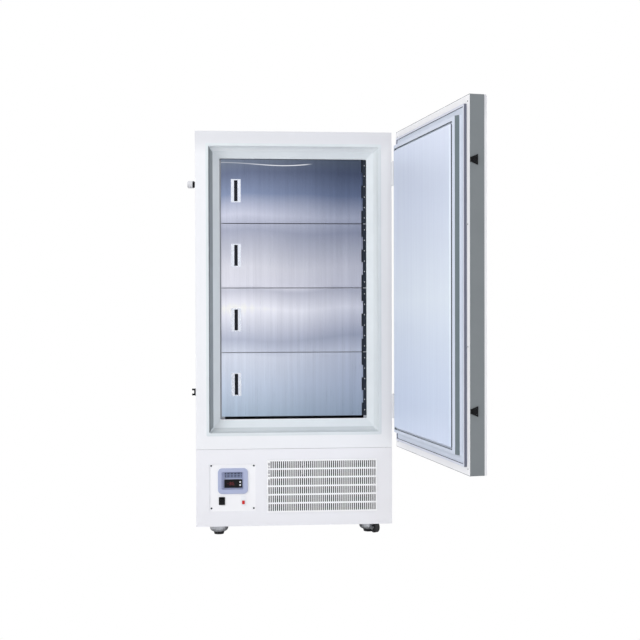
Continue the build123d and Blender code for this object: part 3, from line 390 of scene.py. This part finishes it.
def breaker_plastic():
    """Satin frame moulding, each wall painted with the light that falls on it: painted shade on the left, right
    and bottom walls, strongest on the left, and painted light on the top wall.
    """
    finish = Finish("breaker_plastic", tone(222, 228, 232), 0.34)
    facing = finish.add("ShaderNodeSeparateXYZ", Vector=finish.normal()).outputs
    base = finish.blend(finish.noise(9.0, detail=3.0), tone(219, 225, 229), tone(225, 231, 235))
    # Painted shade on the side and bottom walls, painted light on the top wall
    left_wall_shade = finish.tint(base, (0.27, 0.28, 0.28, 1.0))
    right_wall_shade = finish.tint(base, (0.98, 0.98, 0.97, 1.0))
    bottom_wall_shade = finish.tint(base, (0.83, 0.83, 0.82, 1.0))
    top_wall_light = tone(246, 250, 252)
    body = finish.mix(finish.span(facing["X"], 0.55, 0.95), base, left_wall_shade)
    body = finish.mix(finish.span(facing["X"], -0.55, -0.95), body, right_wall_shade)
    body = finish.mix(finish.span(facing["Z"], 0.5, 0.9), body, bottom_wall_shade)
    finish.paint(finish.mix(finish.span(facing["Z"], -0.5, -0.9), body, top_wall_light))
    moulded_grain(finish)
    finish.rough(finish.noise(14.0), 0.28, 0.42)
    return finish.material


# Depths behind the face between which the plate turns dark with painted shade
pull_recess_shade = (2.5 * mm, 5 * mm)


def pull_chrome():
    """Bright plate with painted shade in its recess."""
    finish = Finish("pull_chrome", tone(226, 232, 246), 0.24, 0.7)
    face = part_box("inner_door_1_pull")[0].y
    streaks = finish.noise(1.0, (400.0, 400.0, 40.0), detail=2.0)
    bright = finish.blend(streaks, tone(222, 228, 243), tone(240, 244, 252), 0.3, 0.7)
    # Painted shade for the recess
    dark = finish.blend(streaks, tone(20, 24, 32), tone(34, 38, 48), 0.3, 0.7)
    depth = finish.span(finish.axes()["Y"], face + pull_recess_shade[0], face + pull_recess_shade[1])
    finish.paint(finish.mix(depth, bright, dark))
    finish.rough(streaks, 0.2, 0.32)
    return finish.material


# The drier is a length of the pipes, placed from the condenser's left end
drier_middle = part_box("condenser")[0].x + 162 * mm
drier_reach = 28 * mm


def pipe_metal():
    """Copper pipes with a bright plated drier."""
    finish = Finish("copper", tone(206, 136, 100), 0.3, 1.0)
    cloud = finish.noise(60.0, detail=3.0)
    drawn = finish.blend(cloud, tone(198, 128, 92), tone(212, 144, 108))
    plated = finish.blend(cloud, tone(232, 233, 238), tone(250, 250, 252))
    away = finish.away(finish.axes()["X"], drier_middle)
    finish.paint(finish.mix(finish.span(away, drier_reach - 2 * mm, drier_reach), plated, drawn))
    finish.rough(cloud, 0.22, 0.38)
    return finish.material


def black_plastic():
    """Black moulding with little sheen."""
    finish = Finish("black_plastic", tone(14, 15, 18), 0.45)
    finish.shader.inputs["Specular IOR Level"].default_value = 0.2
    mottled(finish, 9.0, 0.12)
    moulded_grain(finish)
    return finish.material


# Indicator strip: its size, its rise over the bezel's middle, its depth behind the face, and its blocks
strip_width = 78 * mm
strip_height = 25 * mm
strip_rise = 25.3 * mm
strip_depth = 14.5 * mm
strip_margin = 0.2 * mm
strip_thickness = 0.6 * mm
block_width = 15.6 * mm
block_height = 10.5 * mm


def bezel_plastic():
    """Pale blue moulding with a smoked indicator strip in its recess."""
    finish = Finish("bezel_plastic", tone(172, 180, 210), 0.36)
    low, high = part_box("display_bezel")
    case_low, case_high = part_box("controller_case")
    axes = finish.axes()
    sides = (
        ("X", (case_low.x + case_high.x) / 2, strip_width / 2 + strip_margin),
        ("Z", (low.z + high.z) / 2 + strip_rise, strip_height / 2 + strip_margin),
        ("Y", low.y + strip_depth, strip_thickness),
    )
    inside = 1.0
    for axis, middle, reach in sides:
        inside = finish.product(inside, finish.math("LESS_THAN", finish.away(axes[axis], middle), reach))
    across = finish.span(finish.wave(axes["X"], block_width), -0.6, -0.3)
    upward = finish.span(finish.wave(axes["Z"], block_height), -0.4, 0.0)
    pale = finish.blend(finish.noise(9.0, detail=3.0), tone(169, 177, 207), tone(175, 183, 213))
    smoked = finish.mix(finish.product(across, upward), tone(124, 134, 164), tone(52, 60, 84))
    finish.paint(finish.mix(inside, pale, smoked))
    moulded_grain(finish)
    finish.rough(finish.noise(14.0), 0.3, 0.44)
    return finish.material


# Distances below the cabinet's top between which painted shade makes the paint dimmer
shade_from_top = (120 * mm, 30 * mm)


def casing_paint():
    """White powder coat with painted shade, a little dimmer toward the top."""
    finish = Finish("casing_paint", tone(238, 239, 243), 0.42)
    coat = finish.blend(finish.noise(2.5, detail=3.0), tone(236, 237, 241), tone(240, 241, 245))
    # Painted shade near the top
    top_shade = finish.tint(coat, (0.86, 0.86, 0.87, 1.0))
    high = finish.span(finish.axes()["Z"], cabinet_top - shade_from_top[0], cabinet_top - shade_from_top[1])
    finish.paint(finish.mix(high, coat, top_shade))
    orange_peel(finish)
    finish.rough(finish.noise(5.0), 0.37, 0.49)
    return finish.material


# Depths behind the face between which the slit walls turn dark with painted shade
slit_shade = (0.4 * mm, 1.4 * mm)


def grille_plastic():
    """White moulding with painted shade on its slit walls."""
    finish = Finish("grille_plastic", tone(248, 248, 250), 0.4)
    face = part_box("intake_grille")[0].y
    cloud = finish.noise(9.0, detail=3.0)
    pale = finish.blend(cloud, tone(246, 246, 249), tone(250, 250, 252))
    shaded = finish.blend(cloud, tone(58, 58, 62), tone(66, 66, 70))
    depth = finish.span(finish.axes()["Y"], face + slit_shade[0], face + slit_shade[1])
    finish.paint(finish.mix(depth, pale, shaded))
    moulded_grain(finish)
    return finish.material


fin_pitch = 4.3 * mm


def finned(name, color, dark):
    """Condenser face: upright fins with painted shade in the gaps between them."""
    finish = Finish(name, color, 0.75)
    finish.shader.inputs["Specular IOR Level"].default_value = 0.05
    share = finish.span(finish.wave(finish.axes()["X"], fin_pitch), -0.6, 0.5)
    cloud = finish.noise(1.0, (26.0, 1.0, 9.0), detail=2.0)
    plain = finish.mix(share, dark, color)
    finish.paint(finish.mix(finish.span(cloud, 0.35, 0.7), plain, shade(color, 0.35)))
    finish.bump(share, 0.4, 2 * mm)
    return finish.material


def make_finishes():
    """Every material by its slot in the record."""
    made = {
        "casing_paint": casing_paint(),
        "base_paint": powder_coat("base_paint", tone(238, 238, 243)),
        "panel_paint": powder_coat("panel_paint", tone(246, 246, 249), 0.38),
        "insulation": moulded("insulation", tone(236, 222, 180), 0.8, 250.0, 0.05, 0.4),
        "liner_steel": metal("liner_steel", tone(178, 182, 190), 0.36, (1.0, 1.0, 0.06), 300.0),
        "breaker_plastic": breaker_plastic(),
        "inner_door_steel": inner_door_steel(),
        "pull_chrome": pull_chrome(),
        "hinge_steel": metal("hinge_steel", tone(52, 58, 68), 0.42, (1.0, 1.0, 0.08), 500.0, 0.2),
        "chassis_zinc": metal("chassis_zinc", tone(150, 152, 156), 0.5),
        "grille_plastic": grille_plastic(),
        "bezel_plastic": bezel_plastic(),
        "black_plastic": black_plastic(),
        "white_plastic": moulded("white_plastic", tone(238, 240, 244), 0.32),
        "red_plastic": moulded("red_plastic", tone(206, 32, 34), 0.28, amount=0.06),
        "compressor_paint": moulded("compressor_paint", tone(34, 34, 38), 0.35, 300.0, 0.2),
        # The second tone is the painted shade in the gaps between the fins
        "condenser_aluminium": finned("condenser_aluminium", tone(50, 50, 55), tone(4, 4, 5)),
        "shroud_steel": moulded("shroud_steel", tone(62, 62, 68), 0.5, 500.0, 0.1),
        "copper": pipe_metal(),
        "knob_metal": metal("knob_metal", tone(226, 227, 232), 0.25, scale=40.0, amount=0.03),
        "band_plastic": moulded("band_plastic", tone(128, 134, 138), 0.5, 700.0, 0.03),
        # Painted shade on the side walls of the door liner and the gasket
        "door_liner_plastic": shade_sided_moulding("door_liner_plastic", tone(210, 218, 234), tone(112, 124, 128)),
        "gasket_rubber": shade_sided_moulding("gasket_rubber", tone(220, 223, 236), tone(100, 104, 120), roughness=0.5),
        "door_plate_steel": door_plate_steel(),
        "caster_zinc": metal("caster_zinc", tone(196, 198, 203), 0.38, scale=90.0),
        "caster_tread": moulded("caster_tread", tone(22, 22, 25), 0.45, 500.0, 0.15),
        "foot_rubber": moulded("foot_rubber", tone(44, 44, 48), 0.55, 500.0, 0.12),
    }
    for row in frame["record"]["subparts"]:
        mesh = nodes[row["node"]].data
        mesh.materials.clear()
        mesh.materials.append(made[row["material_slot"]])
    return made


finishes = make_finishes()


def piece_from(builder, name, finish, body):
    """Finishes a bmesh into an object that rides on a body."""
    mesh = bpy.data.meshes.new(name)
    bmesh.ops.recalc_face_normals(builder, faces=builder.faces)
    builder.to_mesh(mesh)
    builder.free()
    piece = bpy.data.objects.new(name, mesh)
    bpy.context.scene.collection.objects.link(piece)
    mesh.materials.append(finish)
    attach(piece, body)
    return piece


def turned(builder, outline, place, axis, steps=16):
    """Adds a turned solid; outline is (radius, distance along axis) from end to end."""
    toward = Vector(axis).normalized()
    turn = toward.to_track_quat("Z", "Y").to_matrix()
    rings = []
    for radius, along in outline:
        ring = []
        for step in range(steps):
            angle = 2 * math.pi * step / steps
            local = Vector((radius * math.cos(angle), radius * math.sin(angle), along))
            ring.append(builder.verts.new(Vector(place) + turn @ local))
        rings.append(ring)
    for first, second in zip(rings, rings[1:]):
        for step in range(steps):
            after = (step + 1) % steps
            builder.faces.new((first[step], first[after], second[after], second[step]))
    builder.faces.new(rings[0])
    builder.faces.new(rings[-1])


def smooth(piece, angle=40):
    """Smooth shading that keeps sharp edges."""
    piece.data.shade_smooth()
    piece.data.set_sharp_from_angle(angle=math.radians(angle))


head_sink = 0.1 * mm


def dome(builder, place, axis, radius, height):
    """Adds a rivet or screw head: a low dome with a rounded rim."""
    outline = [(radius, -head_sink)]
    steps = 6
    for step in range(steps):
        angle = math.pi / 2 * step / steps
        outline.append((radius * math.cos(angle), height * math.sin(angle)))
    outline.append((radius * 0.05, height))
    turned(builder, outline, place, axis)


# Small fittings

rivets_per_door = 6
rivet_pitch = 48.6 * mm
rivet_radius = 2.4 * mm
rivet_rise = 1.1 * mm
rivet_from_edge = 8.0 * mm
leaf_face_depth = 3.0 * mm


def hinge_rivets():
    """Bright rivets on the dark hinge leaves."""
    low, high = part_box("inner_hinge_leaves")
    builder = bmesh.new()
    x = high.x - rivet_from_edge
    y = low.y + leaf_face_depth
    for number in range(1, inner_doors + 1):
        base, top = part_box(f"inner_door_{number}_panel")
        middle = (base.z + top.z) / 2
        for index in range(rivets_per_door):
            z = middle + (index - (rivets_per_door - 1) / 2) * rivet_pitch
            dome(builder, (x, y, z), (0, -1, 0), rivet_radius, rivet_rise)
    piece = piece_from(builder, "hinge_rivets", finishes["knob_metal"], "cabinet")
    smooth(piece)


def cross_head(builder, place, axis, radius, height):
    """Adds a screw head with a sunk centre."""
    outline = [(radius, -head_sink), (radius, height * 0.5), (radius * 0.8, height)]
    outline += [(radius * 0.45, height), (radius * 0.35, height * 0.4), (radius * 0.05, height * 0.35)]
    turned(builder, outline, place, axis)


# Screw places in millimetres from the base panel's lower left corner
plate_screws = ((68.7, 277.4), (262.7, 276.2), (69.3, 82.9), (262.1, 81.5))
plate_screw_radius = 4.2 * mm
plate_screw_rise = 1.4 * mm


def control_screws():
    """Four screws at the corners of the control plate."""
    plate_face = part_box("control_plate")[0].y
    base_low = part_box("base_front_panel")[0].z
    builder = bmesh.new()
    for x, z in plate_screws:
        place = (cabinet_left + x * mm, plate_face, base_low + z * mm)
        cross_head(builder, place, (0, -1, 0), plate_screw_radius, plate_screw_rise)
    piece = piece_from(builder, "control_screws", finishes["hinge_steel"], "cabinet")
    smooth(piece)


door_side_gap = 3 * mm
door_rim_gap = 12 * mm
door_screw_rows = 4
door_screw_inset = 22 * mm
door_screw_margin = 25 * mm
door_screw_radius = 3.2 * mm
door_screw_rise = 1.0 * mm


def door_screws():
    """Screws in the white flange of the outer door."""
    rim_y = cabinet_front - door_rim_gap
    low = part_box("door_skin")[0].z + door_screw_margin
    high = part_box("door_skin")[1].z - door_screw_margin
    inset = door_side_gap + door_screw_inset
    builder = bmesh.new()
    for edge_x in (cabinet_left + inset, cabinet_right - inset):
        for row in range(door_screw_rows):
            z = low + (high - low) * row / (door_screw_rows - 1)
            place = on_door(edge_x, rim_y, z)
            cross_head(builder, place, door_facing_way, door_screw_radius, door_screw_rise)
    piece = piece_from(builder, "door_screws", finishes["chassis_zinc"], "outer_door")
    smooth(piece)


def slab_box(builder, low, high):
    """Adds a box between two corners."""
    points = [
        builder.verts.new((x, y, z))
        for x in (low[0], high[0]) for y in (low[1], high[1]) for z in (low[2], high[2])
    ]
    for face in ((0, 1, 3, 2), (4, 6, 7, 5), (0, 4, 5, 1), (2, 3, 7, 6), (0, 2, 6, 4), (1, 5, 7, 3)):
        builder.faces.new([points[corner] for corner in face])


shown_signs = "-86"
segment_shapes = {"8": "abcdefg", "6": "acdefg", "-": "g"}
digit_width = 8.0 * mm
digit_height = 15.0 * mm
digit_gap = 4.0 * mm
digits_from_left = 12.0 * mm
digit_rise = 0.15 * mm
digit_sink = 0.05 * mm
segment_thick = 1.7 * mm


def display_digits():
    """Red seven-segment number on the controller."""
    low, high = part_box("controller_case")
    front, back = low.y - digit_rise, low.y + digit_sink
    middle_z = (low.z + high.z) / 2
    half = digit_height / 2
    thick = segment_thick
    builder = bmesh.new()
    for index, sign in enumerate(shown_signs):
        left = low.x + digits_from_left + index * (digit_width + digit_gap)
        right = left + digit_width
        bars = {
            "a": (left + thick, right - thick, half - thick, half),
            "d": (left + thick, right - thick, -half, -half + thick),
            "g": (left + thick, right - thick, -thick / 2, thick / 2),
            "b": (right - thick, right, thick / 2, half - thick / 2),
            "c": (right - thick, right, -half + thick / 2, -thick / 2),
            "f": (left, left + thick, thick / 2, half - thick / 2),
            "e": (left, left + thick, -half + thick / 2, -thick / 2),
        }
        for name in segment_shapes[sign]:
            x0, x1, z0, z1 = bars[name]
            slab_box(builder, (x0, front, middle_z + z0), (x1, back, middle_z + z1))
    glow = Finish("display_red", tone(112, 32, 40), 0.4)
    glow.shader.inputs["Emission Color"].default_value = tone(140, 24, 32)
    glow.shader.inputs["Emission Strength"].default_value = 0.1
    mottled(glow, 200.0, 0.1)
    piece_from(builder, "display_digits", glow.material, "cabinet")


def half_round(builder, start, end, radius, rise, steps=6):
    """Adds a low rounded strip between two points on the frame's front ledge."""
    start, end = Vector(start), Vector(end)
    side = (end - start).normalized().cross(Vector((0, -1, 0))) * radius
    rings = []
    for place in (start, end):
        ring = []
        for step in range(steps + 1):
            angle = math.pi * step / steps
            out = Vector((0, -rise * math.sin(angle), 0))
            ring.append(builder.verts.new(place + side * math.cos(angle) + out))
        rings.append(ring)
    for step in range(steps):
        builder.faces.new((rings[0][step], rings[0][step + 1], rings[1][step + 1], rings[1][step]))
    builder.faces.new((rings[0][0], rings[1][0], rings[1][-1], rings[0][-1]))
    for ring in rings:
        builder.faces.new(ring)


# Size of the pale bead that stands in for the highlight of the opening's rounded edge
highlight_bead_half_width = 2.6 * mm
highlight_bead_rise = 1.4 * mm

# The opening: its ledge behind the cabinet's front, and its edges from the cabinet and the inner doors
ledge_depth = 62.0 * mm
opening_inset = 109.5 * mm
opening_under_doors = 12 * mm
opening_over_doors = 4 * mm


def opening_highlight_bead():
    """Pale bead that stands in for the painted highlight along the top, left and bottom edges of the opening."""
    left = cabinet_left + opening_inset - highlight_bead_half_width
    right = cabinet_right - opening_inset
    low = doors_bottom - opening_under_doors - highlight_bead_half_width
    high = doors_top + opening_over_doors + highlight_bead_half_width
    ledge = cabinet_front + ledge_depth
    builder = bmesh.new()
    corners = [(right, high), (left, high), (left, low), (right, low)]
    for (x0, z0), (x1, z1) in zip(corners, corners[1:]):
        half_round(builder, (x0, ledge, z0), (x1, ledge, z1), highlight_bead_half_width, highlight_bead_rise)
    piece = piece_from(builder, "opening_highlight_bead", finishes["white_plastic"], "cabinet")
    smooth(piece, 50)


hinge_rivets()
opening_highlight_bead()
control_screws()
door_screws()
display_digits()


# Studio

ambient = 0.35
floor_reach = 12.0
floor_level = 0.9

# Name, place, aim, size and power; places and aims are from the cabinet's middle on the floor
lamps = (
    ("key_left", (-4.2, -3.6, 2.6), (0, -0.4, 1.0), (2.5, 3.0), 130.0),
    ("front_fill", (0.6, -6.5, 3.2), (0, 0, 0.9), (3.5, 2.5), 80.0),
    ("top_soft", (0, -1.0, 4.6), (0, 0, 0), (3.0, 3.0), 30.0),
    ("rim_right", (4.4, -0.2, 1.8), (0.6, -1.0, 1.1), (2.0, 3.0), 120.0),
)


def backdrop(scene):
    """World that is white to see and to reflect, and dimmer as a light."""
    world = bpy.data.worlds.new("studio")
    scene.world = world
    world.use_nodes = True
    tree = world.node_tree
    path = tree.nodes.new("ShaderNodeLightPath")
    seen = path.outputs["Is Camera Ray"]
    for ray in ("Is Transmission Ray", "Is Glossy Ray"):
        either = tree.nodes.new("ShaderNodeMath")
        either.operation = "MAXIMUM"
        tree.links.new(seen, either.inputs[0])
        tree.links.new(path.outputs[ray], either.inputs[1])
        seen = either.outputs[0]
    strength = tree.nodes.new("ShaderNodeMapRange")
    strength.inputs["To Min"].default_value = ambient
    strength.inputs["To Max"].default_value = 1.0
    tree.links.new(seen, strength.inputs["Value"])
    back = tree.nodes["Background"]
    back.inputs["Color"].default_value = (1, 1, 1, 1)
    tree.links.new(strength.outputs["Result"], back.inputs["Strength"])


def white_floor(scene):
    """Matt floor that is plain white to the camera."""
    builder = bmesh.new()
    bmesh.ops.create_grid(builder, x_segments=1, y_segments=1, size=floor_reach)
    mesh = bpy.data.meshes.new("floor")
    builder.to_mesh(mesh)
    builder.free()
    floor = bpy.data.objects.new("floor", mesh)
    scene.collection.objects.link(floor)
    material = bpy.data.materials.new("floor_white")
    material.use_nodes = True
    tree = material.node_tree
    shader = tree.nodes["Principled BSDF"]
    shader.inputs["Base Color"].default_value = (floor_level, floor_level, floor_level, 1)
    shader.inputs["Roughness"].default_value = 0.7
    glow = tree.nodes.new("ShaderNodeEmission")
    glow.inputs["Strength"].default_value = 1.0
    path = tree.nodes.new("ShaderNodeLightPath")
    choice = tree.nodes.new("ShaderNodeMixShader")
    tree.links.new(path.outputs["Is Camera Ray"], choice.inputs[0])
    tree.links.new(shader.outputs[0], choice.inputs[1])
    tree.links.new(glow.outputs[0], choice.inputs[2])
    tree.links.new(choice.outputs[0], tree.nodes["Material Output"].inputs["Surface"])
    mesh.materials.append(material)


def soft_lamps(scene):
    """Large soft lamps, unseen in reflections."""
    for name, place, aim, size, power in lamps:
        light = bpy.data.lights.new(name, "AREA")
        light.shape = "RECTANGLE"
        light.size, light.size_y = size
        light.energy = power
        lamp = bpy.data.objects.new(name, light)
        lamp.location = cabinet_middle + Vector(place)
        lamp.rotation_euler = (Vector(aim) - Vector(place)).to_track_quat("-Z", "Y").to_euler()
        lamp.visible_glossy = False
        scene.collection.objects.link(lamp)


def photo_camera(scene):
    """Camera turned by its yaw, pitch and roll."""
    data = bpy.data.cameras.new("camera")
    data.sensor_width = camera_sensor
    data.lens = camera_lens
    data.clip_end = camera_range
    camera = bpy.data.objects.new("camera", data)
    level = Vector((math.sin(camera_yaw), math.cos(camera_yaw), 0))
    forward = level * math.cos(camera_pitch) + Vector((0, 0, math.sin(camera_pitch)))
    right = Vector((math.cos(camera_yaw), -math.sin(camera_yaw), 0))
    up = right.cross(forward)
    rolled_right = math.cos(camera_roll) * right + math.sin(camera_roll) * up
    rolled_up = -math.sin(camera_roll) * right + math.cos(camera_roll) * up
    turn = Matrix((rolled_right, rolled_up, -forward)).transposed().to_4x4()
    camera.matrix_world = Matrix.Translation(cabinet_middle + camera_place) @ turn
    scene.collection.objects.link(camera)
    scene.camera = camera


scene = bpy.context.scene
scene.view_settings.view_transform = "Standard"
backdrop(scene)
white_floor(scene)
soft_lamps(scene)
photo_camera(scene)
